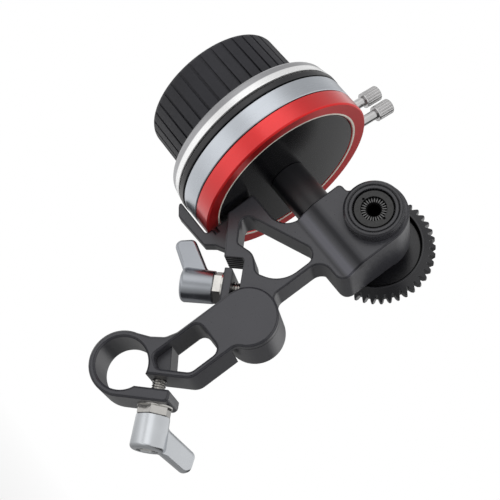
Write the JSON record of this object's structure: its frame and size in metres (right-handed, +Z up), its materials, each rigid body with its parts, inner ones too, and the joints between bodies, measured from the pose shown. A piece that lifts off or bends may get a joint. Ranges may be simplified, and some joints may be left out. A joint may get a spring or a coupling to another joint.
{
  "type": "follow focus unit",
  "caption": "Compact one-handed follow focus: ribbed knob on a hand wheel with settable stops, geared to a toothed drive gear, on a swivelling rod clamp with two levers.",
  "frame": {"origin": "centre of the rod clamp's bore, halfway along it", "axes": "+Y along the support rod towards the drive gear's side, +Z up, hand wheel's knob towards -X"},
  "size_m": [0.0906, 0.0582, 0.1228],
  "materials": {
    "black_anodised": "satin black anodised",
    "black_disc": "satin black anodised",
    "black_ring": "satin black anodised",
    "bright_ring": "bright silver, blank for focus marks",
    "grey_ring": "satin blue-grey anodised",
    "red_ring": "satin red anodised, bright cut inner edge",
    "grip_rubber": "matte ribbed",
    "cord_rubber": "matte",
    "gear_plastic": "matte black",
    "lever_metal": "satin blue-grey",
    "nickel": "nickel plated",
    "steel": "ground",
    "thumb_steel": "bright knurled",
    "dark_steel": "black oxide",
    "bare_aluminium": "satin",
    "gear_brass": "cut"
  },
  "bodies": {
    "clamp_arm": {"rod_clamp_arm": "black_anodised", "pivot_retaining_washer": "nickel", "pivot_retaining_screw": "dark_steel"},
    "rod_screw": {"rod_lever_washer": "nickel", "rod_clamp_screw": "nickel", "rod_lever_cap_screw": "nickel", "rod_lever_spring": "steel"},
    "rod_handle": {"rod_lever": "lever_metal"},
    "focus_body": {"body_frame": "black_anodised", "stop_pointer": "black_anodised", "pointer_screw": "dark_steel", "pointer_dowel": "steel", "shaft_tube": "black_anodised", "tube_set_screw": "dark_steel", "tube_bearing": "steel", "end_bearing": "steel", "port_bezel": "black_anodised", "port_ring": "black_anodised", "spindle_front_bearing": "steel", "spindle_rear_bearing": "steel", "rear_cover": "black_anodised", "rear_cover_screws": "dark_steel"},
    "pivot_screw": {"pivot_lever_washer": "nickel", "pivot_clamp_screw": "nickel", "pivot_lever_cap_screw": "nickel", "pivot_lever_spring": "steel"},
    "pivot_handle": {"pivot_lever": "lever_metal"},
    "hand_wheel": {"wheel_shaft": "steel", "helical_driver_gear": "gear_brass", "driver_gear_pin": "steel", "wheel_hub": "black_disc", "hub_set_screw": "dark_steel", "friction_rings": "cord_rubber", "hub_flange": "black_ring", "flange_screws": "dark_steel", "marking_ring": "bright_ring", "knob_core": "bare_aluminium", "knob_screws": "dark_steel", "knob_centre_screw": "dark_steel", "knob_grip": "grip_rubber", "knob_end_cap": "black_ring"},
    "gear_side_stop": {"stop_ring_gear_side": "red_ring"},
    "knob_side_stop": {"stop_ring_knob_side": "grey_ring"},
    "gear_side_thumb_screw": {"stop_screw_gear_side": "thumb_steel"},
    "knob_side_thumb_screw": {"stop_screw_knob_side": "thumb_steel"},
    "spindle": {"drive_spindle": "dark_steel", "helical_driven_gear": "gear_brass", "driven_gear_pin": "steel", "drive_gear": "gear_plastic", "gear_washer": "nickel", "gear_screw": "dark_steel"}
  },
  "joints": [
    {"name": "body_swivel", "type": "hinge", "parent": "clamp_arm", "child": "focus_body", "pos_m": [0.01115, 0, 0.0352], "axis": [0, 1, 0], "range_deg": [-10, 110]},
    {"name": "wheel_turn", "type": "hinge", "parent": "focus_body", "child": "hand_wheel", "pos_m": [0, 0.00194, 0.0707], "axis": [1, 0, 0], "range_deg": [-161, 182]},
    {"name": "spindle_turn", "type": "hinge", "parent": "focus_body", "child": "spindle", "pos_m": [0.00933, 0, 0.08088], "axis": [0, 1, 0], "range_deg": [-161, 182]},
    {"name": "gear_side_stop_set", "type": "hinge", "parent": "hand_wheel", "child": "gear_side_stop", "pos_m": [-0.022, 0.00194, 0.0707], "axis": [1, 0, 0], "range_deg": [-150, 180]},
    {"name": "knob_side_stop_set", "type": "hinge", "parent": "hand_wheel", "child": "knob_side_stop", "pos_m": [-0.0279, 0.00194, 0.0707], "axis": [1, 0, 0], "range_deg": [-150, 180]},
    {"name": "gear_side_thumb_turn", "type": "hinge", "parent": "gear_side_stop", "child": "gear_side_thumb_screw", "pos_m": [-0.022, 0.00194, 0.0707], "axis": [0, 0.2079, 0.9781], "range_deg": [-180, 180]},
    {"name": "knob_side_thumb_turn", "type": "hinge", "parent": "knob_side_stop", "child": "knob_side_thumb_screw", "pos_m": [-0.0279, 0.00194, 0.0707], "axis": [0, 0.2079, 0.9781], "range_deg": [-180, 180]},
    {"name": "pivot_lever_turn", "type": "hinge", "parent": "focus_body", "child": "pivot_screw", "pos_m": [-0.00226, 0.001, 0.03564], "axis": [-0.7071, 0, -0.7071], "range_deg": [-110, 110]},
    {"name": "pivot_lever_lift", "type": "slide", "parent": "pivot_screw", "child": "pivot_handle", "axis": [-0.7071, 0, -0.7071], "range_m": [0, 0.0022], "stiffness_N_per_m": 400, "springref_m": -0.002, "deforming": ["pivot_lever_spring"]},
    {"name": "rod_lever_turn", "type": "hinge", "parent": "clamp_arm", "child": "rod_screw", "pos_m": [0.01365, 0, 0.00035], "axis": [0.7071, 0, -0.7071], "range_deg": [-180, 180]},
    {"name": "rod_lever_lift", "type": "slide", "parent": "rod_screw", "child": "rod_handle", "axis": [0.7071, 0, -0.7071], "range_m": [0, 0.0022], "stiffness_N_per_m": 400, "springref_m": -0.002, "deforming": ["rod_lever_spring"]}
  ],
  "couplings": [
    {"joint": "spindle_turn", "follows": "wheel_turn", "ratio": 1}
  ]
}
